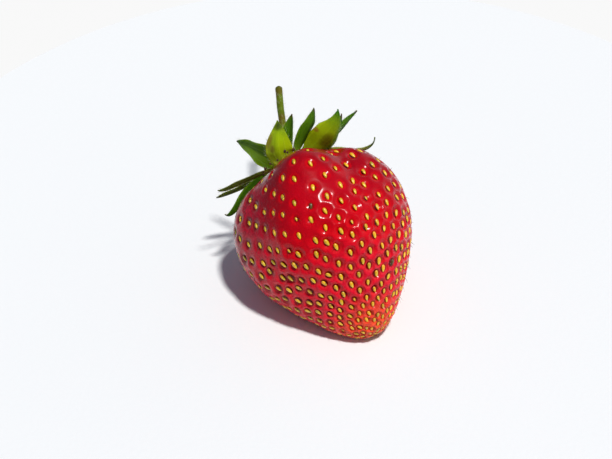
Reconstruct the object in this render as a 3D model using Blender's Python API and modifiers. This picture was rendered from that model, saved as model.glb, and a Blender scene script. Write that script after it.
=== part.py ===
"""Strawberry as picked: one fruit lying on its side, with its calyx leaves and a cut length of stem.

The frame's origin is the middle of the small flat spot that the fruit rests on, +Z is up and
+Y runs from the fruit's tip towards the calyx. Lengths are metres.
"""

import math

import bmesh
import bpy
import numpy as np
from mathutils import Vector

MM = 0.001

# Fruit, along its own axis: -1 at the tip and +1 at the calyx
FRUIT_HALF_LENGTH = 20.8 * MM
FRUIT_GIRTH = (17.1 * MM, 6.2 * MM, -1.9 * MM, 2.7 * MM, 4.8 * MM)  # radius as powers of the place on the axis
FRUIT_LOBES = ((2, 0.071, 15.0), (3, -0.066, 28.0), (4, -0.014, -19.0))  # waves round it, share, degrees
# Long folds: degrees round it, half width in degrees, height in mm, place on the axis, half length
FRUIT_FOLDS = (
    (121, 22, 2.5, 0.26, 0.70),
    (73, 16, -2.9, 0.77, 0.57),
    (110, 17, 3.6, 0.82, 0.31),
    (144, 19, 2.3, -0.14, 0.51),
    (269, 32, -1.0, -0.61, 0.52),
    (93, 22, 1.1, -0.26, 0.25),
)
TIP_SHIFT = (0.9 * MM, -2.6 * MM)  # where the tip ends up, sideways and upwards
CALYX_SHIFT = (-0.8 * MM, 0.6 * MM)
CALYX_HOLLOW_DEPTH = 1.2 * MM
CALYX_HOLLOW_RADIUS = 7.0 * MM
BELLY_SWELL = 1.7 * MM  # the side it lay on is fuller
BELLY_PLACE = 0.3
BELLY_LENGTH = 0.45
BELLY_ANGLE = math.radians(45)
FRUIT_TILT = math.radians(25)  # the calyx end is raised
AXIS_MIDDLE = (0.0, -2.0 * MM, 13.8 * MM)
FRUIT_SEGMENTS = 56
FRUIT_RINGS = 36

# Calyx, measured from the point on the fruit where the stem leaves it
CALYX_PLACE = (-2.9 * MM, 20.1 * MM, 1.85 * MM)
COLLAR_RADIUS = 2.4 * MM
COLLAR_BASE = 0.6 * MM
COLLAR_HEIGHT = 1.9 * MM
COLLAR_PROFILE = ((0.9, 0.0), (1.0, 0.2), (0.92, 0.42), (0.55, 0.62), (0.36, 1.0))  # shares of radius and height
COLLAR_SEGMENTS = 24
STEM_RADIUS = 0.8 * MM
STEM_SPAN = ((0.0, 3.0 * MM, 0.0), (1.5 * MM, 11.5 * MM, -0.5 * MM), (7.8 * MM, 26.0 * MM, -9.2 * MM))
STEM_POINTS = 14

LEAF_ROOT = 2.9 * MM
LEAF_LAYERS = (1.0 * MM, 2.0 * MM)  # sepals nearer the fruit, bracts nearer the stem
LEAF_THICKNESS = 0.45 * MM
LEAF_LENGTH_STEPS = 10
LEAF_WIDTH_STEPS = 4
LEAF_TIP_WIDTH = 0.3 * MM
LEAF_ROOT_WIDTH = 0.015  # how far along the outline a leaf starts, so that its root has a width
LEAF_MIDDLE = 0.3  # how much of the cup lies below the mid-line

# name: turn round the stem, lift at the root, first reach, tip (side, along, up), width, roll, twist,
#       cup, curl of the tip, fullness at the root, taper of the tip, layer; degrees and millimetres
LEAVES = {
    "sepal_top_left": (131, 28, 6.3, (-3.0, 7.4, 10.6), 5.0, 0, -30, 0.15, 1.0, 0.6, 0.9, 0),
    "sepal_top_right": (42, 2, 9.5, (11.5, 6.8, 10.2), 6.1, 11, 8, 0.7, 1.0, 0.65, 0.9, 0),
    "sepal_right": (8, 12, 11.5, (18.4, 0.3, 6.6), 3.4, -3, -17, 0.4, 4.5, 0.65, 0.9, 0),
    "sepal_left": (162, 34, 5.0, (-9.7, 10.6, -0.2), 6.0, -5, -6, 0.5, -0.3, 0.65, 0.9, 1),
    "sepal_low_left": (211, 13, 8.8, (-16.1, -2.0, -8.3), 3.6, 18, -27, 0.45, 2.0, 0.65, 0.9, 0),
    "sepal_under_left": (250, 8, 8.0, (-6.3, 1.5, -14.5), 4.6, 0, 0, 0.3, 0.5, 0.65, 0.9, 0),
    "sepal_under_right": (293, 6, 8.0, (8.0, 2.0, -13.2), 4.6, 0, 0, 0.3, 0.5, 0.65, 0.9, 0),
    "sepal_low_right": (335, 10, 9.0, (16.0, 2.4, -4.0), 4.1, 0, 0, 0.3, 0.5, 0.65, 0.9, 0),
    "bract_top": (114, 40, 6.0, (0.8, 8.0, 10.6), 2.4, -2, 8, 0.25, 0.2, 0.65, 0.9, 1),
    "bract_top_right": (75, 25, 9.7, (5.6, 7.5, 11.8), 3.0, -11, 10, 0.31, 2.9, 0.92, 0.71, 1),
    "bract_behind": (49, 35, 8.0, (12.9, 8.2, 6.5), 2.2, 0, 5, 0.2, 0.2, 0.65, 0.9, 1),
    "bract_right": (17, 36, 8.7, (17.6, 8.2, 4.6), 2.9, 3, -3, 0.3, -0.3, 0.65, 0.9, 1),
    "bract_left": (193, 18, 9.7, (-17.2, 2.1, -3.0), 2.4, 0, 0, 0.25, 0.8, 0.65, 0.9, 1),
    "bract_low_left": (222, 2, 8.8, (-15.7, 3.5, -11.3), 3.3, -13, 1, 0.3, 0.2, 0.74, 0.78, 1),
    "bract_under": (272, 16, 7.5, (1.0, 5.5, -14.0), 2.7, 0, 0, 0.2, 0.4, 0.65, 0.9, 1),
    "bract_low_right": (318, 18, 7.5, (11.5, 5.5, -9.5), 2.6, 0, 0, 0.2, 0.4, 0.65, 0.9, 1),
}

REST_CUTTER_SIZE = 60 * MM


def clear_scene():
    for item in list(bpy.data.objects):
        bpy.data.objects.remove(item, do_unlink=True)


def new_collection(name):
    group = bpy.data.collections.new(name)
    bpy.context.scene.collection.children.link(group)
    return group


def material(name, colour, roughness, metallic=0.0):
    made = bpy.data.materials.new(name)
    made.use_nodes = True
    surface = made.node_tree.nodes["Principled BSDF"]
    surface.inputs["Base Color"].default_value = (*colour, 1.0)
    surface.inputs["Roughness"].default_value = roughness
    surface.inputs["Metallic"].default_value = metallic
    return made


def add_object(name, mesh, group, finish=None, parent=None):
    item = bpy.data.objects.new(name, mesh)
    group.objects.link(item)
    if finish is not None:
        mesh.materials.append(finish)
    item.parent = parent
    return item


def add_empty(name, group, location, tilt=0.0, parent=None):
    empty = bpy.data.objects.new(name, None)
    group.objects.link(empty)
    empty.parent = parent
    empty.location = location
    empty.rotation_euler.x = tilt
    return empty


def fruit_point(unit):
    """A point of the unit sphere, its poles on Z, moved to the fruit's surface along Y."""
    place = max(-1.0, min(1.0, unit.z))
    angle = math.atan2(unit.y, unit.x)
    girth = sum(c * place**power for power, c in enumerate(FRUIT_GIRTH))
    for at, spread, height, middle, reach in FRUIT_FOLDS:
        off = math.degrees(math.remainder(angle - math.radians(at), 2 * math.pi))
        girth += height * MM * math.exp(-((off / spread) ** 2) - ((place - middle) / reach) ** 2)
    lobes = 1.0 + sum(share * math.cos(n * (angle - math.radians(at))) for n, share, at in FRUIT_LOBES)
    radius = math.sqrt(1.0 - place * place) * girth * lobes
    shift = TIP_SHIFT if place < 0 else CALYX_SHIFT
    x = radius * math.cos(angle) + shift[0] * place**2
    z = radius * math.sin(angle) + shift[1] * place**2
    y = FRUIT_HALF_LENGTH * place
    if place > 0:
        y -= CALYX_HOLLOW_DEPTH * math.exp(-((radius / CALYX_HOLLOW_RADIUS) ** 2))
    below = math.remainder(angle + math.pi / 2, 2 * math.pi)
    swell = ((place - BELLY_PLACE) / BELLY_LENGTH) ** 2 + (below / BELLY_ANGLE) ** 2
    z -= BELLY_SWELL * math.exp(-swell)
    return Vector((x, y, z))


def make_fruit(group, cutters, frame):
    """One solid: a sphere drawn out to the fruit's shape, cut level where it rests."""
    mesh = bpy.data.meshes.new("fruit")
    shape = bmesh.new()
    bmesh.ops.create_uvsphere(shape, u_segments=FRUIT_SEGMENTS, v_segments=FRUIT_RINGS, radius=1.0)
    for vertex in shape.verts:
        vertex.co = fruit_point(vertex.co)
    bmesh.ops.recalc_face_normals(shape, faces=shape.faces)
    shape.to_mesh(mesh)
    shape.free()
    mesh.shade_smooth()
    fruit = add_object("fruit", mesh, group, material("fruit_skin", (0.52, 0.01, 0.012), 0.28), frame)

    block_mesh = bpy.data.meshes.new("rest_cutter")
    block = bmesh.new()
    bmesh.ops.create_cube(block, size=REST_CUTTER_SIZE)
    block.to_mesh(block_mesh)
    block.free()
    cutter = add_object("rest_cutter", block_mesh, cutters)
    cutter.location = (0.0, 0.0, -REST_CUTTER_SIZE / 2)
    cutter.hide_render = True
    cutter.display_type = "WIRE"

    cut = fruit.modifiers.new("level_rest", "BOOLEAN")
    cut.operation = "DIFFERENCE"
    cut.solver = "EXACT"
    cut.object = cutter
    return fruit


def make_collar(group, frame):
    """The green disc between the fruit and the stem: a turned profile, wide below and narrow above."""
    rings = [(COLLAR_RADIUS * wide, COLLAR_BASE + COLLAR_HEIGHT * high) for wide, high in COLLAR_PROFILE[::-1]]
    profile = [(0.0, COLLAR_BASE + COLLAR_HEIGHT), *rings, (0.0, COLLAR_BASE)]
    mesh = bpy.data.meshes.new("calyx_collar")
    edges = [(i, i + 1) for i in range(len(profile) - 1)]
    mesh.from_pydata([(x, 0.0, z) for x, z in profile], edges, [])
    collar = add_object("calyx_collar", mesh, group, material("collar_green", (0.16, 0.26, 0.02), 0.5), frame)
    collar.rotation_euler.x = math.radians(-90)
    turn = collar.modifiers.new("turn", "SCREW")
    turn.axis = "Z"
    turn.steps = COLLAR_SEGMENTS
    turn.render_steps = COLLAR_SEGMENTS
    turn.use_merge_vertices = True
    turn.merge_threshold = 0.00002
    return collar


def quadratic(start, control, end, count):
    """Points along the curve that leaves start towards control and arrives at end from it."""
    t = np.linspace(0.0, 1.0, count)[:, None]
    start, control, end = (np.array(p) for p in (start, control, end))
    return (1 - t) ** 2 * start + 2 * t * (1 - t) * control + t**2 * end


def make_stem(group, frame):
    curve = bpy.data.curves.new("stem", "CURVE")
    curve.dimensions = "3D"
    curve.bevel_depth = STEM_RADIUS
    curve.bevel_resolution = 2
    curve.use_fill_caps = True
    spline = curve.splines.new("POLY")
    points = quadratic(*STEM_SPAN, STEM_POINTS)
    spline.points.add(STEM_POINTS - 1)
    for slot, point in zip(spline.points, points):
        slot.co = (*point, 1.0)
    return add_object("stem", curve, group, material("stem_green", (0.17, 0.2, 0.03), 0.55), frame)


def leaf_surface(u, v, leaf):
    """The point of a leaf at u along it, 0 to 1, and v across it, -1 to 1."""
    turn, lift, reach, tip, width, roll, twist, cup, curl, fullness, taper, layer = leaf
    turn, lift = math.radians(turn), math.radians(lift)
    outward = Vector((math.cos(turn), 0.0, math.sin(turn)))
    along = Vector((0.0, 1.0, 0.0))
    root = LEAF_ROOT * outward + LEAF_LAYERS[layer] * along
    knee = root + reach * MM * (math.cos(lift) * outward + math.sin(lift) * along)
    end = Vector(tip) * MM
    first = root.lerp(knee, 2 / 3)
    second = knee.lerp(end, 2 / 3) - curl * MM * along
    w = 1 - u
    middle = w**3 * root + 3 * u * w**2 * first + 3 * u**2 * w * second + u**3 * end
    heading = w**2 * (first - root) + 2 * u * w * (second - first) + u**2 * (end - second)
    heading.normalize()
    across = along.cross(heading).normalized()
    normal = heading.cross(across)
    angle = math.radians(roll + twist * u)
    side = across * math.cos(angle) + normal * math.sin(angle)
    face = normal * math.cos(angle) - across * math.sin(angle)
    widest = fullness / (fullness + taper)
    outline = (u + LEAF_ROOT_WIDTH) ** fullness * w**taper / (widest**fullness * (1 - widest) ** taper)
    half = max(width * MM * outline, LEAF_TIP_WIDTH) / 2
    return middle + half * v * side + half * cup * (v * v - LEAF_MIDDLE) * face


def make_leaf(name, leaf, group, frame, finish):
    mesh = bpy.data.meshes.new(name)
    sheet = bmesh.new()
    bmesh.ops.create_grid(sheet, x_segments=LEAF_LENGTH_STEPS, y_segments=LEAF_WIDTH_STEPS, size=1.0)
    for vertex in sheet.verts:
        vertex.co = leaf_surface((vertex.co.x + 1) / 2, vertex.co.y, leaf)
    sheet.to_mesh(mesh)
    sheet.free()
    mesh.shade_smooth()
    blade = add_object(name, mesh, group, finish, frame)
    wall = blade.modifiers.new("thickness", "SOLIDIFY")
    wall.thickness = LEAF_THICKNESS
    wall.offset = 0.0
    return blade


def main():
    clear_scene()
    parts = new_collection("strawberry")
    cutters = new_collection("cutters")
    fruit_frame = add_empty("fruit_frame", parts, AXIS_MIDDLE, FRUIT_TILT)
    calyx_frame = add_empty("calyx_frame", parts, CALYX_PLACE, parent=fruit_frame)
    make_fruit(parts, cutters, fruit_frame)
    make_collar(parts, calyx_frame)
    make_stem(parts, calyx_frame)
    green = material("leaf_green", (0.06, 0.17, 0.015), 0.5)
    for name, leaf in LEAVES.items():
        make_leaf(name, leaf, parts, calyx_frame, green)


main()
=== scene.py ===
import math

import bpy
import numpy as np
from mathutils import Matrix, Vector


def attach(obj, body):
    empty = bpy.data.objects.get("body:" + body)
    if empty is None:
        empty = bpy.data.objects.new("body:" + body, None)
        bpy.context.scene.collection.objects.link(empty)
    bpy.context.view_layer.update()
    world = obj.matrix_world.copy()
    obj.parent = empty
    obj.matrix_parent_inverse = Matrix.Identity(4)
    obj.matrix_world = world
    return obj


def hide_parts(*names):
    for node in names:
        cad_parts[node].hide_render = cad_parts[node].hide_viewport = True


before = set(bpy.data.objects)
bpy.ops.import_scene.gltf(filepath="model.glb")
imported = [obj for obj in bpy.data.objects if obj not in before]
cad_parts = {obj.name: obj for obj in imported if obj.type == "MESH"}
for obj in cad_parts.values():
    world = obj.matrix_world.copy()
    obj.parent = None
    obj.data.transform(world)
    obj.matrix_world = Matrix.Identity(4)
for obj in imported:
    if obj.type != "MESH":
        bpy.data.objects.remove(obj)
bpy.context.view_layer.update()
mm = 0.001
chance = np.random.default_rng(7)

alongAxis = np.array([0.0, 1.0, 0.0])  # from the tip to the calyx, before the fruit is laid down

# in every dictionary lengths are in mm and turns in degrees, where nothing else is said

lay = {
    "tilt": 25.0,  # calyx end up
    "axisMiddle": (0.0, -2.0, 13.8),
    "calyxPlace": (-2.9, 20.1, 1.85),
}


def laidDown(points):
    # turns points about X by the tilt and lifts them to the fruit's middle, never under the floor
    t = math.radians(lay["tilt"])
    turn = np.array([[1, 0, 0], [0, math.cos(t), -math.sin(t)], [0, math.sin(t), math.cos(t)]])
    moved = points @ turn.T + np.array(lay["axisMiddle"])
    moved[..., 2] = np.maximum(moved[..., 2], 0.0)
    return moved


def unit(vectors):
    # each vector over its own length
    return vectors / np.maximum(np.linalg.norm(vectors, axis=-1, keepdims=True), 1e-12)


def smooth(start, end, value):
    # 0 before start and 1 past end, 3t^2 - 2t^3 between them; start may be the larger one
    t = np.clip((value - start) / (end - start), 0.0, 1.0)
    return t * t * (3 - 2 * t)


def makeMesh(name, points, groups, finish, values=None, body="root"):
    # points in mm, groups of faces with one row of corner numbers per face, and named values per point
    mesh = bpy.data.meshes.new(name)
    corners = np.concatenate([g.reshape(-1) for g in groups]).astype(np.int32)
    sizes = np.concatenate([np.full(len(g), g.shape[1]) for g in groups]).astype(np.int32)
    mesh.vertices.add(len(points))
    mesh.vertices.foreach_set("co", (points * mm).astype(np.float32).reshape(-1))
    mesh.loops.add(len(corners))
    mesh.loops.foreach_set("vertex_index", corners)
    mesh.polygons.add(len(sizes))
    starts = np.concatenate([[0], np.cumsum(sizes)[:-1]]).astype(np.int32)
    mesh.polygons.foreach_set("loop_start", starts)
    mesh.polygons.foreach_set("use_smooth", np.ones(len(sizes), bool))
    mesh.update(calc_edges=True)
    for key, numbers in (values or {}).items():
        layer = mesh.attributes.new(key, "FLOAT", "POINT")
        layer.data.foreach_set("value", numbers.astype(np.float32).reshape(-1))
    piece = bpy.data.objects.new(name, mesh)
    bpy.context.scene.collection.objects.link(piece)
    mesh.materials.append(finish)
    if body:
        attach(piece, body)
    return piece


def tubeFaces(rows, around):
    # quads of a tube whose rings hold `around` points, and the fans that close it on one point at each end
    ring = np.arange(around)
    after = (ring + 1) % around
    row = np.arange(rows - 1)[:, None] * around
    quads = np.stack([row + ring, row + after, row + around + after, row + around + ring], -1).reshape(-1, 4)
    low = rows * around
    high = low + 1
    last = (rows - 1) * around
    fans = np.concatenate([
        np.stack([after, ring, np.full(around, low)], -1),
        np.stack([ring + last, after + last, np.full(around, high)], -1),
    ])
    return quads, fans


def tubePoints(rings, low=None, high=None):
    # the rings' points followed by the two closing points
    low = rings[0].mean(0) if low is None else low
    high = rings[-1].mean(0) if high is None else high
    return np.concatenate([rings.reshape(-1, 3), [low, high]])


def manyTubes(rings, closing):
    # rings (copies, rows, around, 3) and closing (copies, 2, 3) made one mesh's points and faces
    copies, rows, around = rings.shape[:3]
    points = np.concatenate([rings.reshape(copies, -1, 3), closing], 1)
    quads, fans = tubeFaces(rows, around)
    step = np.arange(copies)[:, None, None] * points.shape[1]
    return points.reshape(-1, 3), [(quads + step).reshape(-1, 4), (fans + step).reshape(-1, 3)]


def outwards(groups):
    # the other winding, for rings that run the way that leaves a tube's faces pointing inwards
    return [group[:, ::-1] for group in groups]


hairTaper = 0.8  # share of its width that a hair loses towards its end


def sweptHairs(roots, heads, sides, lengths, widths, bend, rows=4, around=3):
    # tapering threads: each starts at its root, heads off and bends sideways with the square of the way along
    t = np.linspace(0, 1, rows)[None, :, None]
    path = heads[:, None] * t + bend[:, None, None] * sides[:, None] * t**2
    middle = roots[:, None] + lengths[:, None, None] * path
    across = unit(np.cross(heads, sides))
    third = unit(np.cross(across, heads))
    angle = np.linspace(0, 2 * np.pi, around, endpoint=False)
    circle = np.cos(angle)[:, None] * across[:, None] + np.sin(angle)[:, None] * third[:, None]
    radius = widths[:, None] / 2 * (1 - hairTaper * t[..., 0])
    rings = middle[:, :, None] + radius[..., None, None] * circle[:, None]
    points, groups = manyTubes(rings, np.stack([middle[:, 0], middle[:, -1]], 1))
    return points, outwards(groups)


class Wire:
    # one output of a shader node; sums and products of wires and numbers add Math nodes
    def __init__(self, tree, socket=None):
        self.tree = tree
        self.socket = socket

    def node(self, kind, settings=None, values=None, output=0):
        made = self.tree.nodes.new("ShaderNode" + kind)
        for name, value in (settings or {}).items():
            setattr(made, name, value)
        for key, value in (values or {}).items():
            self.feed(made.inputs[key], value)
        return Wire(self.tree, made.outputs[output])

    def feed(self, slot, value):
        if isinstance(value, Wire):
            self.tree.links.new(value.socket, slot)
        else:
            slot.default_value = value

    def math(self, operation, first, second=0.0, clamp=False):
        return self.node("Math", {"operation": operation, "use_clamp": clamp}, {0: first, 1: second})

    def __add__(self, other):
        return self.math("ADD", self, other)

    def __sub__(self, other):
        return self.math("SUBTRACT", self, other)

    def __mul__(self, other):
        return self.math("MULTIPLY", self, other)

    def __pow__(self, other):
        return self.math("POWER", self, other)

    def __rsub__(self, other):
        return self.math("SUBTRACT", other, self)

    __radd__ = __add__
    __rmul__ = __mul__

    def within(self):
        # kept between 0 and 1
        return self.math("ADD", self, 0.0, clamp=True)

    def step(self, low, high):
        # 0 below low and 1 above high, with a soft rise between them
        values = {"Value": self, "From Min": low, "From Max": high}
        return self.node("MapRange", {"interpolation_type": "SMOOTHSTEP"}, values)

    def into(self, colourFrom, colourTo):
        # a colour between two, this wire being the share of the second
        return self.node("Mix", {"data_type": "RGBA"}, {0: self, 6: colourFrom, 7: colourTo}, 2)


def srgb(red, green, blue):
    # a screen colour, 0 to 255, as the linear colour and alpha that a shader wants
    values = np.array([red, green, blue]) / 255
    linear = np.where(values <= 0.04045, values / 12.92, ((values + 0.055) / 1.055) ** 2.4)
    return (*(float(v) for v in linear), 1.0)


def solid(colour):
    return (*colour, 1.0)


def newFinish(name, constants):
    # a Principled material with its constant sockets set, the wire that makes its nodes, and its shader
    made = bpy.data.materials.new(name)
    made.use_nodes = True
    shader = made.node_tree.nodes["Principled BSDF"]
    for key, value in constants.items():
        shader.inputs[key].default_value = value
    return made, Wire(made.node_tree), shader


def attribute(start, name):
    return start.node("Attribute", {"attribute_name": name}, output=2)


def noise(start, coords, scale, detail=3.0, roughness=0.5):
    values = {"Vector": coords, "Scale": scale, "Detail": detail, "Roughness": roughness}
    return start.node("TexNoise", None, values)


def bumped(start, height, strength, distance=0.0003):
    # distance in metres
    return start.node("Bump", None, {"Height": height, "Strength": strength, "Distance": distance})


view = {
    "target": (-2.6, 9.1, 11.4),
    "toCamera": (-0.3066, -0.7153, 0.628),
    "distance": 337.5,
    "lens": 88.2,
    "sensor": 36.0,
    "sees": (0.01, 50.0),  # nearest and farthest, m
}


def addCamera():
    data = bpy.data.cameras.new("camera")
    data.lens = view["lens"]
    data.sensor_width = view["sensor"]
    data.clip_start, data.clip_end = view["sees"]
    camera = bpy.data.objects.new("camera", data)
    away = Vector(view["toCamera"]).normalized()
    camera.location = (Vector(view["target"]) + away * view["distance"]) * mm
    camera.rotation_euler = away.to_track_quat("Z", "Y").to_euler()
    bpy.context.scene.collection.objects.link(camera)
    bpy.context.scene.camera = camera


light = {
    "sunFrom": (0.125, -0.345, 1.0),
    "sunStrength": 3.1,
    "sunAngle": 6.0,
    "sunColour": (0.98, 0.985, 0.965),
    "sky": (0.13, 0.15, 0.205),
    "glow": (0.58, 0.6, 0.64),  # low in the sky on the right
    "backdrop": 0.945,
    "floorRadius": 112.0,
    "floorCorners": 96,
    "floorColours": ((0.866, 0.868, 0.868), (0.895, 0.893, 0.89)),
    "floorMiddle": (12.0, 20.0, 0.0),
}


def addLight():
    data = bpy.data.lights.new("sun", "SUN")
    data.energy = light["sunStrength"]
    data.angle = math.radians(light["sunAngle"])
    data.color = light["sunColour"]
    sun = bpy.data.objects.new("sun", data)
    sun.rotation_euler = Vector(light["sunFrom"]).to_track_quat("Z", "Y").to_euler()
    bpy.context.scene.collection.objects.link(sun)

    world = bpy.data.worlds.new("sky")
    bpy.context.scene.world = world
    world.use_nodes = True
    start = Wire(world.node_tree)
    sky = world.node_tree.nodes["Background"]
    way = start.node("TexCoord", output=0)
    right, height = (start.node("SeparateXYZ", None, {"Vector": way}, n) for n in (0, 2))
    side = right.step(0.15, 0.95) * (1 - height.step(0.15, 0.8))
    shade = side.into(solid(light["sky"]), solid(light["glow"]))
    seen = start.node("LightPath")
    start.feed(sky.inputs["Color"], seen.into(shade, solid((light["backdrop"],) * 3)))
    bpy.context.scene.view_settings.view_transform = "Standard"
    bpy.context.scene.view_settings.look = "None"


def addFloor():
    made, start, shader = newFinish("paleCloth", {"Roughness": 0.9, "Specular IOR Level": 0.1})
    coords = start.node("TexCoord", output=3)
    weave = noise(start, coords, 900.0, 2.0)
    stain = noise(start, coords, 6.0, 2.0)
    shade = (weave * 0.3 + stain * 0.7).into(*(solid(colour) for colour in light["floorColours"]))
    start.feed(shader.inputs["Base Color"], shade)
    start.feed(shader.inputs["Normal"], bumped(start, weave, 0.12, 0.0004))
    corners = light["floorCorners"]
    turn = np.linspace(0, 2 * np.pi, corners, endpoint=False)
    rim = np.stack([np.cos(turn), np.sin(turn), turn * 0], -1) * light["floorRadius"]
    points = rim + np.array(light["floorMiddle"])
    makeMesh("floor", points, [np.arange(corners)[None]], made, body=None)


fruit = {
    "halfLength": 20.8,
    "girth": (16.96, 6.19, -1.87, 2.70, 4.82),  # radius as powers of the place on the axis, -1 tip, +1 calyx
    "lobes": ((2, 0.071, 15.0), (3, -0.066, 28.0), (4, -0.014, -19.0)),  # waves round, share, turn
    "tipShift": (0.9, -2.9),
    "calyxShift": (-0.8, 0.6),
    "hollow": (1.2, 7.0),  # depth and radius of the dip under the calyx
    "belly": (2.2, 0.37, 0.35, 45.0),  # swell, place on the axis, half length as a place, half width
    "around": 416,
    "rings": 232,
    "pitDepth": 0.25,
    "pitRadius": 0.92,
    "pitGrowth": (0.62, 0.38, 3.4),  # share that stays, share that grows with the spacing, full spacing
    "pitLength": 1.14,  # times its width
    # shallow bowls that the pits sit in: place on the axis and depth
    "dimpleDepth": ((-1.0, 0.34), (-0.3, 0.52), (0.0, 0.38), (0.25, 0.25), (1.0, 0.25)),
    "dimpleSpread": (0.6, 1.4),  # least and most of that depth
    # deeper or flatter sides of the upper half: share, turn, half width
    "dimpleSides": ((1.1, 45.0, 45.0), (-0.7, 145.0, 30.0)),
    "dimpleShare": 0.64,  # of the spacing between seeds
    "dimpleWidest": 1.95,
    "rim": (0.085, 1.14, 0.18),  # height of the lip round a pit, its place and width in pit radii
    "smoothSide": 95.0,  # where the bowls don't show as a net of ridges
    "lumps": 0.16,
    "swelling": 0.22,
    # long folds: turn, half width, height, place on the axis, half length as a place
    "folds": (
        (121, 22, 2.5, 0.26, 0.70),
        (73, 16, -2.9, 0.77, 0.57),
        (110, 17, 3.6, 0.82, 0.31),
        (144, 19, 2.3, -0.14, 0.51),
        (269, 32, -1.0, -0.61, 0.52),
        (185, 23, 0.2, 0.13, 0.52),
        (93, 22, 1.1, -0.26, 0.25),
    ),
}

seed = {
    "spacing": ((-1.0, 1.7), (-0.6, 2.5), (0.0, 3.35), (0.5, 4.1), (1.0, 4.8)),  # place on the axis, spacing
    "packing": 0.9,  # share of the spacing squared that a seed takes
    "lastPlace": 0.955,
    "length": 1.54,
    "width": 0.82,
    "thickness": 0.52,
    "sink": 0.3,
    "sinkGrowth": (0.7, 0.3, 3.4),  # share that stays, share that grows with the spacing, full spacing
    "fullSizeSpacing": 2.6,
    "leastSize": 0.8,  # share of the full size
    "scale": (0.88, 1.08),
    "turn": 0.16,  # radians
    "lean": 0.09,  # radians
    "wander": 0.09,  # share of the spacing
    "mostWander": 0.8,
    "small": 0.06,  # share of seeds that stayed small
    "smallScale": 0.6,
    "dark": 0.015,  # share of seeds gone dark
    "golden": (srgb(255, 216, 44), srgb(232, 196, 30)),
    "olive": (srgb(244, 176, 8), srgb(176, 148, 12)),
    "darkHusk": srgb(62, 44, 22),
}

thread = {
    "share": 0.55,  # of the seeds
    "beside": 0.42,  # from the seed's middle
    "sink": 0.4,
    "length": (0.7, 1.35),
    "width": (0.12, 0.18),
    "bend": (0.2, 0.9),
    "colours": (srgb(44, 22, 14), srgb(100, 64, 38)),
}


def degreesFrom(angle, at):
    # how many degrees an angle lies past a place round the fruit, -180 to 180
    return np.degrees(np.remainder(angle - math.radians(at) + np.pi, 2 * np.pi) - np.pi)


def fruitPoint(angle, place):
    # a turned shape: radius = sqrt(1 - place^2) x (girth + folds) x lobes; the tip and the calyx are then
    # shifted by place^2, the hollow sunk under the calyx and the belly let down
    girth = sum(c * place**power for power, c in enumerate(fruit["girth"]))
    lobes = 1 + sum(share * np.cos(n * (angle - math.radians(at))) for n, share, at in fruit["lobes"])
    for at, spread, height, middle, reach in fruit["folds"]:
        off = degreesFrom(angle, at)
        girth = girth + height * np.exp(-((off / spread) ** 2) - ((place - middle) / reach) ** 2)
    radius = np.sqrt(np.clip(1 - place**2, 0, 1)) * girth * lobes
    shift = np.where((place < 0)[..., None], np.array(fruit["tipShift"]), np.array(fruit["calyxShift"]))
    shift = shift * (place**2)[..., None]
    depth, width = fruit["hollow"]
    swell, at, length, spread = fruit["belly"]
    below = np.remainder(angle + np.pi / 2 + np.pi, 2 * np.pi) - np.pi
    fuller = swell * np.exp(-((place - at) / length) ** 2 - (below / math.radians(spread)) ** 2)
    x = radius * np.cos(angle) + shift[..., 0]
    z = radius * np.sin(angle) + shift[..., 1] - fuller
    y = fruit["halfLength"] * place - np.where(place > 0, depth * np.exp(-((radius / width) ** 2)), 0.0)
    return np.stack([x, y, z], -1)


def fruitFrame(angle, place):
    # the point, the way to the calyx, the way round and the outward normal, from small steps on the surface
    psi = np.arccos(-np.clip(place, -0.9999, 0.9999))
    step = 1e-3
    point = fruitPoint(angle, place)
    toCalyx = unit(fruitPoint(angle, -np.cos(psi + step)) - fruitPoint(angle, -np.cos(psi - step)))
    sideways = unit(fruitPoint(angle + step, place) - fruitPoint(angle - step, place))
    normal = unit(np.cross(toCalyx, sideways))
    point = point + (fruit["swelling"] + fruit["lumps"] * lumpiness(point))[..., None] * normal
    return point, toCalyx, sideways, normal


def seedSpacing(place):
    # straight lines between the listed spacings
    places, sizes = np.array(seed["spacing"]).T
    return np.interp(place, places, sizes)


def seedPlaces():
    # seeds follow the golden angle; the number up to a place is the area so far over the spacing squared
    psi = np.linspace(1e-3, np.pi - 1e-3, 4000)
    place = -np.cos(psi)
    girth = sum(c * place**power for power, c in enumerate(fruit["girth"]))
    radius = np.sin(psi) * girth
    stretch = np.hypot(np.gradient(radius), np.gradient(fruit["halfLength"] * place))
    count = np.cumsum(2 * np.pi * radius * stretch / (seed["packing"] * seedSpacing(place) ** 2))
    total = int(np.interp(seed["lastPlace"], place, count))
    order = np.arange(total)
    places = np.interp(order + 0.5, count, place)
    angles = order * np.pi * (3 - math.sqrt(5))
    size = seedSpacing(places)
    radii = np.interp(places, place, radius)
    slope = np.interp(places, place[1:], np.diff(place) / np.maximum(stretch[1:], 1e-9))
    drift = chance.normal(0, seed["wander"], (2, total)) * size
    drift = np.clip(drift, -seed["mostWander"], seed["mostWander"])
    angles = angles + drift[0] / np.maximum(radii, 1.5)
    places = np.clip(places + drift[1] * slope, -0.999, 0.97)
    return np.remainder(angles, 2 * np.pi), places


def lumpiness(points):
    # slow swells over the skin: a few crossed sine waves of the position
    x, y, z = np.moveaxis(points / 6.0, -1, 0)
    waves = np.sin(1.7 * x + 0.9 * y + 1.1) + np.sin(1.3 * y - 1.6 * z + 2.0)
    waves = waves + np.sin(1.9 * z + 1.2 * x + 0.4)
    return waves / 3 + 0.35 * np.sin(3.7 * x - 2.9 * y + 2.3 * z)


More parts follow.
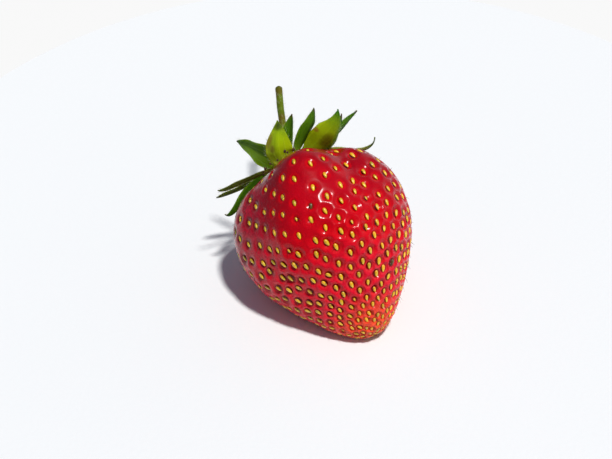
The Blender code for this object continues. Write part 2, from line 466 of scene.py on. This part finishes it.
def buildFruit(angles, places, finish):
    # the plain shape moved along its normal: out by the lips, in by the pits and by the bowls round the seeds
    rows, around = fruit["rings"], fruit["around"]
    psi = np.linspace(0, np.pi, rows + 2)[1:-1, None]
    angle = np.linspace(0, 2 * np.pi, around, endpoint=False)[None]
    angle, place = np.broadcast_to(angle, (rows, around)), np.broadcast_to(-np.cos(psi), (rows, around))
    point, *_, normal = fruitFrame(angle, place)
    seats = fruitFrame(angles, places)
    # near and wide: how far the nearest seed is, in radii of its pit and of its bowl
    near, wide = np.full((2, rows, around), 9.0)
    depth = np.zeros((rows, around))
    stays, grows, fullSpace = fruit["pitGrowth"]
    depths = np.interp(places, *np.array(fruit["dimpleDepth"]).T)
    depths = depths * chance.uniform(*fruit["dimpleSpread"], len(places))
    for share, at, spread in fruit["dimpleSides"]:
        sideShare = share * np.exp(-((degreesFrom(angles, at) / spread) ** 2))
        depths = depths * (1 + sideShare * smooth(-0.3, 0.1, places))
    for at, up, side, out, space, deep in zip(*seats, seedSpacing(places), depths):
        away = point - at
        ahead, beside, above = away @ up, away @ side, away @ out
        pit = fruit["pitRadius"] * (stays + grows * space / fullSpace)
        pitSpan = np.hypot(ahead / (pit * fruit["pitLength"]), np.hypot(beside / pit, above / 2))
        near = np.minimum(near, pitSpan)
        reach = min(fruit["dimpleShare"] * space, fruit["dimpleWidest"])
        span = np.hypot(ahead / reach, np.hypot(beside / reach, above / 3))
        depth = np.maximum(depth, deep * (1 - smooth(0.4, 1.0, span)))
        wide = np.minimum(wide, span)
    pitShape = np.clip(1 - near**2, 0, 1) ** 1.5
    rimHeight, rimPlace, rimWidth = fruit["rim"]
    rim = np.exp(-(((near - rimPlace) / rimWidth) ** 2))
    height = rimHeight * rim - fruit["pitDepth"] * pitShape - depth
    skin = laidDown(point + height[..., None] * normal)
    ends = laidDown(fruitPoint(np.zeros(2), np.array([-1.0, 1.0])))
    points = tubePoints(skin, ends[0], ends[1])
    faces = outwards(tubeFaces(rows, around))
    onSmoothSide = smooth(0.25, 0.8, np.cos(angle - np.radians(fruit["smoothSide"])))
    quilted = 1 - onSmoothSide * smooth(-0.55, -0.1, place)
    closed = lambda numbers, low=0, high=0: np.concatenate([numbers.reshape(-1), [low, high]])
    values = {
        "pit": closed(pitShape),
        "sheenRidge": closed(smooth(0.55, 0.88, wide) * quilted),
        "paintedBowlShade": closed(smooth(0.66, 0.36, wide) * quilted),
        "paintedLitBowl": closed(smooth(0.75, 0.45, wide) * (1 - quilted)),
        "paintedRimGlint": closed(rim * quilted),
        "place": closed(place, -1, 1),
        "turn": closed(np.cos(angle - np.pi)),
    }
    piece = makeMesh("fruitSkin", points, faces, finish, values)
    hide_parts("fruit")
    print("fruit skin:", len(angles), "seeds")


skinColours = {
    "ripe": (srgb(166, 0, 22), srgb(200, 0, 22)),
    "sideShadeAndDarkCalyx": srgb(128, 0, 14),  # painted shade on the left and right sides, which turn from the light, and darker red towards the calyx end
    "lower": srgb(232, 2, 18),
    # pinker ridges between the seed bowls: partly the skin's paler colour, partly a painted sheen of the
    # bright floor
    "sheenRidge": srgb(226, 26, 60),
    "paintedLitBowl": srgb(224, 0, 14),  # painted light: brighter red in the bowls round the seeds of the sunlit smooth side
    # painted shade: darker red in the bowls round the seeds on the quilted sides
    "paintedBowlShade": srgb(128, 0, 18),
    # painted shade: a dark ring in each pit round a seed
    "pit": (srgb(100, 0, 8), srgb(150, 4, 10)),
    # painted highlight: pale pink on the lips round the pits
    "paintedRimGlint": srgb(244, 120, 128),
    "tip": (srgb(252, 36, 22), srgb(252, 112, 60)),
    "smudge": srgb(120, 88, 58),
}


def skinFinish():
    # red in slow clouds, then each later colour laid over it by its own share
    constants = {
        "Subsurface Weight": 0.1,
        "Subsurface Radius": (1.0, 0.12, 0.06),
        "Subsurface Scale": 0.0012,
        "Specular IOR Level": 0.02,
        "Coat Weight": 1.0,
        "Coat Roughness": 0.18,
        "Coat IOR": 1.27,
    }
    made, start, shader = newFinish("ripeSkin", constants)
    coords = start.node("TexCoord", output=3)
    names = ("pit", "sheenRidge", "paintedBowlShade", "paintedLitBowl", "paintedRimGlint", "place", "turn")
    pit, sheenRidge, paintedBowlShade, paintedLitBowl, paintedRimGlint, place, turn = (attribute(start, name) for name in names)
    cloud = noise(start, coords, 130.0, 4.0, 0.55)
    fine = noise(start, coords, 900.0, 3.0, 0.6)
    grain = noise(start, coords, 2600.0, 2.0, 0.6)
    # painted shade: shares that darken the upper left and the right side, which turn from the light
    sides = turn.step(0.45, 1.0) * place.step(-0.1, 0.35) * 0.78 + turn.step(-0.3, -1.0) * 0.45
    lower = (place + cloud * 0.9 - 0.45).step(0.45, -0.75)
    tip = 1 - (place + fine * 0.1 + cloud * 0.16 - 0.13).step(-1.0, -0.67)
    smudge = (1 - (place + cloud * 0.3 - 0.15).step(-1.02, -0.93)) * fine.step(0.4, 0.62)
    shade = cloud.step(0.35, 0.68).into(*skinColours["ripe"])
    layers = (
        # painted shade on the sides, and darker red towards the calyx end
        (sides + place.step(0.3, 0.8) * 0.45, skinColours["sideShadeAndDarkCalyx"]),
        (lower, skinColours["lower"]),
        # ridges: partly paler skin, partly painted sheen
        (sheenRidge * fine, skinColours["sheenRidge"]),
        # painted light in the bowls on the sunlit side
        (paintedLitBowl * 0.75, skinColours["paintedLitBowl"]),
        # painted shade in the bowls
        (paintedBowlShade * 0.9, skinColours["paintedBowlShade"]),
        # painted shade in the pits
        (pit * 1.15, fine.into(*skinColours["pit"])),
        # painted highlight on the pit lips
        (paintedRimGlint * fine * 0.3, skinColours["paintedRimGlint"]),
        (tip * 0.9, cloud.into(*skinColours["tip"])),
        (smudge * 0.6, skinColours["smudge"]),
    )
    for share, colour in layers:
        shade = share.within().into(shade, colour)
    start.feed(shader.inputs["Base Color"], shade)
    start.feed(shader.inputs["Roughness"], 0.36 + fine * 0.16)
    start.feed(shader.inputs["Normal"], bumped(start, grain * 0.5 + fine * (sheenRidge * 3.0 + 1.0), 0.65))
    return made


def seedFinish():
    # golden at the narrow end and more olive at the broad one, with a few seeds gone dark
    constants = {"Roughness": 0.35, "Specular IOR Level": 0.5, "Coat Weight": 0.4, "Coat Roughness": 0.2}
    made, start, shader = newFinish("seedHusk", constants)
    coords = start.node("TexCoord", output=3)
    lengthwise, tone, dark = (attribute(start, name) for name in ("lengthwise", "tone", "dark"))
    grain = noise(start, coords, 2500.0, 3.0)
    golden, olive = (tone.into(*seed[name]) for name in ("golden", "olive"))
    husk = (lengthwise + grain * 0.4 - 0.2).step(0.15, 0.85).into(golden, olive)
    start.feed(shader.inputs["Base Color"], dark.into(husk, seed["darkHusk"]))
    start.feed(shader.inputs["Normal"], bumped(start, grain, 0.2, 0.0002))
    return made


def buildSeeds(angles, places, finish):
    # a drop: rings across it have the radius sqrt(1 - s^2) x (1 + 0.3 s), s running from narrow to broad end
    rows, around = 5, 8
    at, up, side, out = fruitFrame(angles, places)
    copies = len(at)
    s = np.cos(np.linspace(np.pi, 0, rows + 2)[1:-1])
    phi = np.linspace(0, 2 * np.pi, around, endpoint=False)
    radius = np.sqrt(1 - s**2) * (1 + 0.3 * s)
    scale = chance.uniform(*seed["scale"], copies)
    scale = np.where(chance.random(copies) < seed["small"], seed["smallScale"], scale)
    turn = chance.normal(0, seed["turn"], copies)[:, None]
    lean = chance.normal(0, seed["lean"], copies)[:, None]
    ahead = up * np.cos(turn) + side * np.sin(turn)
    beside = side * np.cos(turn) - up * np.sin(turn)
    ahead = unit(ahead + out * lean)
    high = unit(np.cross(ahead, beside))
    stays, grows, fullSpace = seed["sinkGrowth"]
    centre = at - out * seed["sink"] * (stays + grows * seedSpacing(places) / fullSpace)[:, None]
    size = scale * np.clip(seedSpacing(places) / seed["fullSizeSpacing"], seed["leastSize"], 1.0) / 2
    length, width, thickness = (
        seed[name] * size[:, None] * way
        for name, way in (("length", ahead), ("width", beside), ("thickness", high))
    )
    across = (radius[:, None] * np.cos(phi))[None, :, :, None] * width[:, None, None]
    across = across + (radius[:, None] * np.sin(phi))[None, :, :, None] * thickness[:, None, None]
    rings = laidDown(centre[:, None, None] + across + s[None, :, None, None] * length[:, None, None])
    closing = laidDown(centre[:, None] + np.array([-1.0, 1.0])[None, :, None] * length[:, None])
    points, groups = manyTubes(rings, closing)
    perSeed = rows * around + 2
    tone = np.clip(chance.normal(0.4, 0.25, copies) + 0.3 * places, 0, 1)
    dark = np.where(chance.random(copies) < seed["dark"], 0.9, 0.0)
    values = {
        "lengthwise": np.tile(np.concatenate([np.repeat((s + 1) / 2, around), [0.0, 1.0]]), copies),
        "tone": np.repeat(tone, perSeed),
        "dark": np.repeat(dark, perSeed),
    }
    piece = makeMesh("seeds", points, groups, finish, values)


def plainFinish(name, roughness, scale, colours):
    # two colours mixed by one noise
    made, start, shader = newFinish(name, {"Roughness": roughness})
    coords = start.node("TexCoord", output=3)
    start.feed(shader.inputs["Base Color"], noise(start, coords, scale).into(*colours))
    return made


def buildThreads(angles, places, finish):
    # the dried style of a seed: a thread from beside it, standing up and leaning to the tip
    chosen = chance.random(len(angles)) < thread["share"]
    at, up, side, out = fruitFrame(angles[chosen], places[chosen])
    copies = len(at)
    hand = np.where(chance.random(copies) < 0.5, -1.0, 1.0)[:, None]
    roots = laidDown(at + side * hand * thread["beside"] - out * thread["sink"])
    turned = lambda way: laidDown(way + at) - laidDown(at)
    lean = chance.normal(0, 0.35, (copies, 2))
    heads = unit(turned(out + side * (hand * 0.2 + lean[:, :1]) + up * (lean[:, 1:] - 0.3)))
    sides = unit(turned(up * lean[:, 1:] - up * 0.5 + side * lean[:, :1]) + 1e-6)
    lengths, widths, bend = (chance.uniform(*thread[name], copies) for name in ("length", "width", "bend"))
    points, groups = sweptHairs(roots, heads, sides, lengths, widths, bend)
    points[:, 2] = np.maximum(points[:, 2], 0.0)
    makeMesh("seedThreads", points, groups, finish)


# name: turn round the stem, lift at the root, first reach, tip (side, along, up), width, roll, twist, cup,
#       curl of the tip, fullness at the root, taper of the tip, layer, look
leaves = {
    "sepal_top_left": (129, 28, 6.1, (-2.35, 8.1, 9.1), 5.9, 5, -60, 0.08, 3.1, 0.47, 0.89, 0, "bright"),
    "sepal_top_right": (38, 3, 8.5, (11.5, 6.8, 9.9), 8.3, -26, 34, 0.53, 2.8, 0.93, 1.12, 0, "olive"),
    "sepal_right": (3, 29, 10.1, (19.2, 0.6, 4.5), 4.2, -7, 25, 0.27, 7.0, 0.66, 1.2, 0, "pale"),
    "sepal_left": (167, 26, 3.6, (-9.3, 11.1, -1.4), 7.9, 11, 14, 0.0, -0.1, 0.6, 0.98, 1, "green"),
    "sepal_low_left": (209, 21, 11.4, (-15.9, -2.2, -9.0), 3.8, 2, -6, 0.4, 5.5, 0.69, 1.02, 0, "dark"),
    "sepal_under_left": (250, 8, 8.0, (-6.3, 1.5, -14.5), 5.4, 0, 0, 0.3, 0.5, 0.7, 1.1, 0, "green"),
    "sepal_under_right": (293, 6, 8.0, (8.0, 2.0, -13.2), 5.4, 0, 0, 0.3, 0.5, 0.7, 1.1, 0, "olive"),
    "sepal_low_right": (335, 10, 9.0, (16.0, 2.4, -4.0), 4.8, 0, 0, 0.3, 0.5, 0.7, 1.1, 0, "green"),
    "bract_top": (110, 39, 4.5, (0.7, 7.8, 11.0), 2.9, -8, -3, 0.21, 0.5, 0.5, 0.87, 1, "dark"),
    "bract_top_right": (75, 25, 9.7, (5.6, 7.5, 11.8), 3.3, -11, 10, 0.31, 2.9, 0.66, 0.74, 1, "dark"),
    "bract_behind": (45, 26, 8.6, (12.9, 6.8, 7.4), 3.0, -18, -27, 0.12, 4.0, 0.73, 0.91, 1, "dark"),
    "bract_right": (14, 12, 9.5, (17.9, 8.2, 4.5), 3.5, -9, -2, 0.14, -0.4, 0.69, 1.2, 1, "dark"),
    "bract_left": (197, 1, 10.8, (-17.1, 1.4, -3.5), 2.6, -7, 14, 0.17, 1.2, 0.74, 1.11, 1, "dry"),
    "bract_low_left": (222, 2, 8.8, (-15.7, 3.5, -11.3), 3.3, -13, 1, 0.3, 0.2, 0.74, 0.78, 1, "dry"),
    "bract_under": (272, 16, 7.5, (1.0, 5.5, -14.0), 3.2, 0, 0, 0.2, 0.4, 0.7, 1.1, 1, "dark"),
    "bract_low_right": (318, 18, 7.5, (11.5, 5.5, -9.5), 3.0, 0, 0, 0.2, 0.4, 0.7, 1.1, 1, "dark"),
}

leafShape = {
    "rootRadius": 2.9,
    "layers": (1.0, 2.0),  # how far up the stem the roots stand
    "leastWidth": 0.3,
    "rootWidth": 0.015,  # how far before its root the outline starts, share of the length
    "thickness": 0.3,
    "rows": 44,
    "columns": 14,
    "midrib": (0.16, 0.35),  # depth and half width
    "veins": (0.05, 9.5),  # height and how closely they stand
    "waviness": 0.05,
}

# colours from the root to the tip, the painted shade of one half (and which), and of patches:
# along, across, half length, half width
leafLooks = {
    "bright": {
        "colours": (srgb(214, 232, 84), srgb(180, 208, 16), srgb(76, 100, 18)),
        "half": (srgb(140, 162, 26), -1),
        "spots": (
            (0.6, -0.85, 0.2, 0.35, srgb(126, 104, 46)),
            (0.42, -0.5, 0.1, 0.2, srgb(124, 118, 40)),
            (0.9, 0.0, 0.1, 1.2, srgb(58, 72, 18)),
        ),
    },
    "olive": {
        "colours": (srgb(170, 196, 40), srgb(140, 158, 8), srgb(40, 92, 10)),
        "half": (srgb(90, 128, 6), 1),
        "spots": (
            (0.44, -0.15, 0.15, 0.4, srgb(88, 78, 10)),
            (0.2, 0.1, 0.13, 0.5, srgb(104, 92, 20)),
            (0.48, -0.95, 0.05, 0.2, srgb(128, 84, 24)),
        ),
    },
    "green": {
        "colours": (srgb(196, 216, 50), srgb(138, 176, 18), srgb(84, 124, 14)),
        "half": (srgb(66, 104, 8), 1),
        "spots": ((1.0, 0.0, 0.06, 1.5, srgb(84, 40, 34)),),
    },
    "dark": {
        "colours": (srgb(132, 170, 40), srgb(78, 122, 20), srgb(58, 94, 18)),
        "half": (srgb(46, 82, 10), 1),
        "spots": ((1.0, 0.0, 0.12, 1.5, srgb(66, 34, 34)),),
    },
    "pale": {
        "colours": (srgb(196, 206, 130), srgb(168, 184, 104), srgb(72, 88, 44)),
        "half": (srgb(120, 140, 70), 1),
        "spots": ((1.0, 0.0, 0.2, 1.5, srgb(58, 62, 40)),),
    },
    "dry": {
        "colours": (srgb(156, 154, 54), srgb(118, 124, 50), srgb(84, 92, 38)),
        "half": (srgb(72, 78, 30), 1),
        "spots": ((1.0, 0.0, 0.06, 1.5, srgb(70, 52, 34)),),
    },
}


def leafSheet(leaf, u, v):
    # a ribbon on a cubic from the root to the tip, crossed by a rib that rolls and twists; it is as wide as
    # u^fullness x (1 - u)^taper, and lifted by the cup v^2, a ripple at the margins, a midrib and veins
    turn, lift, reach, tip, width, roll, twist, cup, curl, fullness, taper, layer, _ = leaf
    turn, lift = math.radians(turn), math.radians(lift)
    outward = np.array([math.cos(turn), 0.0, math.sin(turn)])
    root = leafShape["rootRadius"] * outward + leafShape["layers"][layer] * alongAxis
    knee = root + reach * (math.cos(lift) * outward + math.sin(lift) * alongAxis)
    end = np.array(tip)
    first = root + (knee - root) * 2 / 3
    second = knee + (end - knee) * 2 / 3 - curl * alongAxis
    u3, w3 = u[..., None], 1 - u[..., None]
    middle = w3**3 * root + 3 * u3 * w3**2 * first + 3 * u3**2 * w3 * second + u3**3 * end
    heading = unit(w3**2 * (first - root) + 2 * u3 * w3 * (second - first) + u3**2 * (end - second))
    across = unit(np.cross(np.broadcast_to(alongAxis, heading.shape), heading))
    normal = np.cross(heading, across)
    angle = np.radians(roll + twist * u)[..., None]
    side = across * np.cos(angle) + normal * np.sin(angle)
    face = normal * np.cos(angle) - across * np.sin(angle)
    widest = fullness / (fullness + taper)
    most = widest**fullness * (1 - widest) ** taper
    outline = (u + leafShape["rootWidth"]) ** fullness * (1 - u) ** taper / most
    half = np.maximum(width * outline, leafShape["leastWidth"]) / 2
    ripple = leafShape["waviness"] * half * np.sin(u * 17 + turn * 5) * v**2
    ribDepth, ribWidth = leafShape["midrib"]
    rib = -ribDepth * np.exp(-((v * half / ribWidth) ** 2)) * (1 - u) ** 0.5
    veinHeight, veinSpacing = leafShape["veins"]
    veins = veinHeight * np.cos(v * veinSpacing) * np.clip(1 - u * 1.1, 0, 1)
    lifted = half * cup * (v * v - 0.3) + ripple + rib + veins
    return middle + (half * v)[..., None] * side + lifted[..., None] * face, side, face, half


def calyxPoint(points):
    # moves points from round the stem's root to the calyx, and lays them down
    return laidDown(points + np.array(lay["calyxPlace"]))


def leafFinish(look):
    # root, middle and tip colours along the leaf, then painted shade on one half, the veins and the spots
    # laid over them
    tones = leafLooks[look]
    rootColour, middleColour, tipColour = tones["colours"]
    shadedHalfColour, half = tones["half"]
    constants = {
        "Specular IOR Level": 0.05,
        "Subsurface Weight": 0.6,
        "Subsurface Radius": (0.9, 1.0, 0.15),
        "Subsurface Scale": 0.0012,
    }
    made, start, shader = newFinish("leaf" + look.capitalize(), constants)
    coords = start.node("TexCoord", output=3)
    along, across = attribute(start, "along"), attribute(start, "across")
    mottle = noise(start, coords, 420.0, 4.0, 0.6)
    cloud = noise(start, coords, 150.0, 3.0)
    shade = (along + mottle * 0.3 - 0.15).step(0.0, 0.32).into(rootColour, middleColour)
    shade = (along + cloud * 0.3 - 0.15).step(0.55, 0.95).into(shade, tipColour)
    # painted shade: one half of the leaf darkened, where the folded leaf turns from the light
    side = (across * half + cloud * 0.5 - 0.25).step(-0.05, 0.35) * (along + mottle * 0.2).step(0.15, 0.4)
    shade = (side * 0.9).into(shade, shadedHalfColour)
    veins = start.math("COSINE", across * 14.0).step(0.55, 1.0)
    shade = (veins * 0.2 * (1 - along)).within().into(shade, rootColour)
    for at, beside, length, width, colour in tones["spots"]:
        away = ((along - at) * (1 / length)) ** 2.0 + ((across - beside) * (1 / width)) ** 2.0
        spot = 1 - (away + mottle * 1.2 - 0.6).step(0.05, 1.3)
        shade = (spot * 0.85).into(shade, colour)
    start.feed(shader.inputs["Base Color"], shade)
    start.feed(shader.inputs["Roughness"], 0.42 + mottle * 0.25)
    start.feed(shader.inputs["Normal"], bumped(start, mottle + veins * 0.4, 0.3))
    return made


def buildLeaf(name, leaf, finish):
    # the sheet's front and rear walls in rings round the leaf, thinner towards its margins
    rows, columns = leafShape["rows"], leafShape["columns"]
    u = np.linspace(0, 1, rows)[:, None] ** 0.85
    v = np.cos(np.linspace(0, np.pi, columns))[None]
    u, v = np.broadcast_to(u, (rows, columns)), np.broadcast_to(v, (rows, columns))
    sheet, _, face, _ = leafSheet(leaf, u, v)
    rowStep, columnStep = np.gradient(sheet, axis=0), np.gradient(sheet, axis=1)
    out = unit(np.cross(columnStep, rowStep))
    out = out * np.sign((out * face).sum(-1, keepdims=True))
    wall = leafShape["thickness"] / 2 * np.sqrt(np.clip(1 - 0.92 * v**2, 0, 1))[..., None]
    front, rear = sheet + out * wall, sheet - out * wall
    rings = np.concatenate([front, rear[:, ::-1]], 1)
    points = tubePoints(calyxPoint(rings))
    quads, fans = tubeFaces(rows, 2 * columns)
    both = lambda a: np.append(np.concatenate([a, a[:, ::-1]], 1), [a[0].mean(), a[-1].mean()])
    values = {"along": both(u), "across": both(v)}
    piece = makeMesh(name.replace("_", "-") + "-blade", points, [quads, fans], finish, values)
    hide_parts(name)


hair = {
    "perLeaf": 70,
    "onStem": 220,
    "leafLength": (0.35, 0.95),
    "leafBend": (0.1, 0.5),
    "stemLength": (0.4, 1.0),
    "stemBend": (0.0, 0.4),
    "width": (0.03, 0.05),
    "colours": (srgb(206, 210, 170), srgb(236, 236, 214)),
}


def laidWays(roots, *ways):
    # points of the calyx and directions at them, laid down with the fruit
    base = calyxPoint(roots)
    return base, *(unit(calyxPoint(roots + way) - base) for way in ways)


def buildLeafHairs(finish):
    # short pale hairs on both margins of each leaf, pointing out and on towards its tip
    roots, heads, sides = [], [], []
    for leaf in leaves.values():
        u = chance.uniform(0.06, 0.95, hair["perLeaf"])
        v = np.where(chance.random(len(u)) < 0.5, -1.0, 1.0)
        point, side, face, _ = leafSheet(leaf, u, v)
        ahead = unit(leafSheet(leaf, u + 0.02, v)[0] - point)
        spread = chance.normal(0, 0.3, (len(u), 1))
        roots.append(point)
        heads.append(unit(side * v[:, None] + ahead * 0.8 + face * spread))
        sides.append(ahead)
    base, heads, sides = laidWays(*(np.concatenate(rows) for rows in (roots, heads, sides)))
    ranges = (hair["leafLength"], hair["width"], hair["leafBend"])
    lengths, widths, bend = (chance.uniform(*span, len(base)) for span in ranges)
    points, groups = sweptHairs(base, heads, sides, lengths, widths, bend, 3)
    makeMesh("leafHairs", points, groups, finish)


stem = {
    "span": ((0.0, 1.6, 0.0), (1.5, 11.5, -0.5), (7.8, 26.0, -9.2)),  # root, point it bends towards, end
    "radius": 0.8,
    "flare": (0.45, 0.05),  # how much wider its root is, and along what share of the length
    "rows": 90,
    "around": 28,
    "ribs": (5, 0.035),
    "green": (srgb(80, 100, 16), srgb(112, 128, 26)),
    "brown": srgb(108, 76, 30),
    "end": srgb(90, 108, 24),
    "pith": srgb(150, 140, 84),
}


def stemMiddle(t):
    # a curve of the second degree through its root and its end
    root, control, end = (np.array(point) for point in stem["span"])
    t = t[..., None]
    return (1 - t) ** 2 * root + 2 * t * (1 - t) * control + t**2 * end


def stemFrame(t):
    # the way along the stem and two ways across it
    heading = unit(stemMiddle(t + 0.01) - stemMiddle(t - 0.01))
    across = unit(np.cross(heading, np.array([1.0, 0.0, 0.0])))
    return heading, across, np.cross(across, heading)


def buildStem(finish):
    # a tube along the bend: radius with a few low ribs, wider at its root and a little at the cut, whose face
    # steps inwards to the pith
    rows, around = stem["rows"], stem["around"]
    t = np.linspace(0, 1, rows)[:, None] * np.ones(around)
    angle = np.linspace(0, 2 * np.pi, around, endpoint=False)[None] * np.ones((rows, 1))
    heading, across, third = stemFrame(t)
    ribs, ribHeight = stem["ribs"]
    wider, reach = stem["flare"]
    radius = stem["radius"] * (1 + ribHeight * np.cos(ribs * angle + 3 * t) + 0.02 * np.sin(21 * t + angle))
    radius = (radius * (1 + wider * np.exp(-t / reach) + 0.06 * smooth(0.93, 1.0, t)))[..., None]
    rings = stemMiddle(t) + radius * (np.cos(angle)[..., None] * across + np.sin(angle)[..., None] * third)
    middle = rings[-1].mean(0)
    cut = np.array([0.8, 0.4])[:, None, None] * (rings[-1] - middle) + middle
    cut = cut - heading[-1] * np.array([0.02, 0.12])[:, None, None]
    points = tubePoints(calyxPoint(np.concatenate([rings, cut])))
    faces = outwards(tubeFaces(rows + 2, around))
    pith = np.repeat([0.0, 0.4, 1.0], [rows, 1, 1])
    values = {
        "along": np.append(np.repeat(np.append(t[:, 0], [1.0, 1.0]), around), [0.0, 1.0]),
        "pith": np.append(np.repeat(pith, around), [0.0, 1.0]),
    }
    piece = makeMesh("stalk", points, faces, finish, values)
    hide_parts("stem")


def stemFinish():
    constants = {
        "Roughness": 0.5,
        "Specular IOR Level": 0.05,
        "Subsurface Weight": 0.08,
        "Subsurface Radius": (0.6, 1.0, 0.3),
        "Subsurface Scale": 0.0006,
    }
    made, start, shader = newFinish("stalkGreen", constants)
    coords = start.node("TexCoord", output=3)
    along, pith = attribute(start, "along"), attribute(start, "pith")
    mottle = noise(start, coords, 350.0, 4.0)
    cloud = noise(start, coords, 110.0, 3.0)
    shade = (cloud.step(0.42, 0.62) * 0.7).into(mottle.into(*stem["green"]), stem["brown"])
    shade = (along.step(0.9, 1.0) * 0.4).into(shade, stem["end"])
    start.feed(shader.inputs["Base Color"], pith.into(shade, stem["pith"]))
    start.feed(shader.inputs["Normal"], bumped(start, mottle, 0.3))
    return made


def buildStemHairs(finish):
    count = hair["onStem"]
    t = chance.uniform(0.04, 0.99, count)
    angle = chance.uniform(0, 2 * np.pi, count)
    heading, across, third = stemFrame(t)
    out = np.cos(angle)[:, None] * across + np.sin(angle)[:, None] * third
    lengths, widths = (chance.uniform(*hair[name], count) for name in ("stemLength", "width"))
    heads = unit(out + heading * chance.normal(0.2, 0.3, (count, 1)))
    bend = chance.uniform(*hair["stemBend"], count)
    roots = stemMiddle(t) + out * stem["radius"] * 0.97
    points, groups = sweptHairs(*laidWays(roots, heads, heading), lengths, widths, bend, 3)
    makeMesh("stalkHairs", points, groups, finish)


collar = {
    "radius": 2.6,
    "base": 0.2,
    "height": 2.4,
    # shares of the height and of the radius
    "profile": ((0.0, 0.78), (0.12, 1.0), (0.3, 0.98), (0.5, 0.72), (0.75, 0.44), (1.0, 0.33)),
    "lobes": (10, 0.07),
    "rows": 26,
    "around": 80,
    "colours": (srgb(112, 138, 34), srgb(168, 184, 70)),
}


def buildCollar(finish):
    # a low turned cone with shallow lobes that fade upwards, its foot inside the fruit's hollow
    rows, around = collar["rows"], collar["around"]
    t = np.linspace(0, 1, rows)[:, None] * np.ones(around)
    angle = np.linspace(0, 2 * np.pi, around, endpoint=False)[None] * np.ones((rows, 1))
    lobes, depth = collar["lobes"]
    profile = np.interp(t, *np.array(collar["profile"]).T)
    radius = collar["radius"] * profile * (1 + depth * np.cos(lobes * angle) * (1 - t))
    height = collar["base"] + collar["height"] * t
    rings = np.stack([radius * np.cos(angle), height, radius * np.sin(angle)], -1)
    faces = outwards(tubeFaces(rows, around))
    piece = makeMesh("calyxDisc", tubePoints(calyxPoint(rings)), faces, finish)
    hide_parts("calyx_collar")


def collarFinish():
    made, start, shader = newFinish("discGreen", {"Roughness": 0.5})
    coords = start.node("TexCoord", output=3)
    mottle = noise(start, coords, 420.0, 4.0)
    start.feed(shader.inputs["Base Color"], mottle.step(0.3, 0.7).into(*collar["colours"]))
    start.feed(shader.inputs["Normal"], bumped(start, mottle, 0.3))
    return made


stamens = {
    "count": 24,
    "ring": 4.9,
    "length": 2.6,
    "width": 0.16,
    "bend": 0.2,
    "knob": (0.2, 0.34),
    "knobShape": (1.0, 0.8, 1.3),
    "colours": (srgb(38, 22, 14), srgb(104, 74, 40)),
}


def buildStamens(finish):
    # dried filaments in a ring on the fruit under the calyx, leaning outwards, each with a small dark ball
    # drawn out by knobShape
    count = stamens["count"]
    turn = np.linspace(0, 2 * np.pi, count, endpoint=False) + chance.normal(0, 0.08, count)
    out = np.stack([np.cos(turn), np.zeros(count), np.sin(turn)], -1)
    roots = out * chance.normal(stamens["ring"], 0.35, (count, 1)) - alongAxis * 0.3
    lean = out * chance.uniform(0.5, 1.4, (count, 1))
    heads = unit(lean + alongAxis * 0.8 + chance.normal(0, 0.2, (count, 3)))
    lengths = stamens["length"] * chance.uniform(0.5, 1.0, count)
    base, heads, sides = laidWays(roots, heads, alongAxis)
    widths, bend = np.full(count, stamens["width"]), np.full(count, stamens["bend"])
    points, groups = sweptHairs(base, heads, sides, lengths, widths, bend, 5, 5)
    ends = base + heads * lengths[:, None]
    s = np.cos(np.linspace(np.pi, 0, 6)[1:-1])[:, None]
    phi = np.linspace(0, 2 * np.pi, 6, endpoint=False)
    flat = np.sqrt(1 - s**2)
    ball = np.stack([flat * np.cos(phi), flat * np.sin(phi), s * np.ones(len(phi))], -1)
    size = chance.uniform(*stamens["knob"], count)[:, None, None, None]
    poles = np.array([[0, 0, -1.0], [0, 0, 1.0]]) * stamens["knobShape"]
    rings = ends[:, None, None] + ball * stamens["knobShape"] * size
    knobs, knobGroups = manyTubes(rings, ends[:, None] + poles * size[:, 0])
    groups = groups + [g + len(points) for g in knobGroups]
    makeMesh("driedStamens", np.concatenate([points, knobs]), groups, finish)


def buildAll():
    addCamera()
    addLight()
    addFloor()
    print("camera, light and floor done")
    angles, places = seedPlaces()
    buildFruit(angles, places, skinFinish())
    buildSeeds(angles, places, seedFinish())
    buildThreads(angles, places, plainFinish("dryThread", 0.6, 700.0, thread["colours"]))
    print("seeds and threads done")
    finishes = {look: leafFinish(look) for look in leafLooks}
    for name, leaf in leaves.items():
        buildLeaf(name, leaf, finishes[leaf[-1]])
    hairFinish = plainFinish("paleHair", 0.5, 500.0, hair["colours"])
    buildLeafHairs(hairFinish)
    buildStem(stemFinish())
    buildStemHairs(hairFinish)
    buildCollar(collarFinish())
    buildStamens(plainFinish("driedBrown", 0.7, 900.0, stamens["colours"]))
    print("calyx and stalk done")


buildAll()
for name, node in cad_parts.items():
    print(name, "replaced" if node.hide_render else "shown")
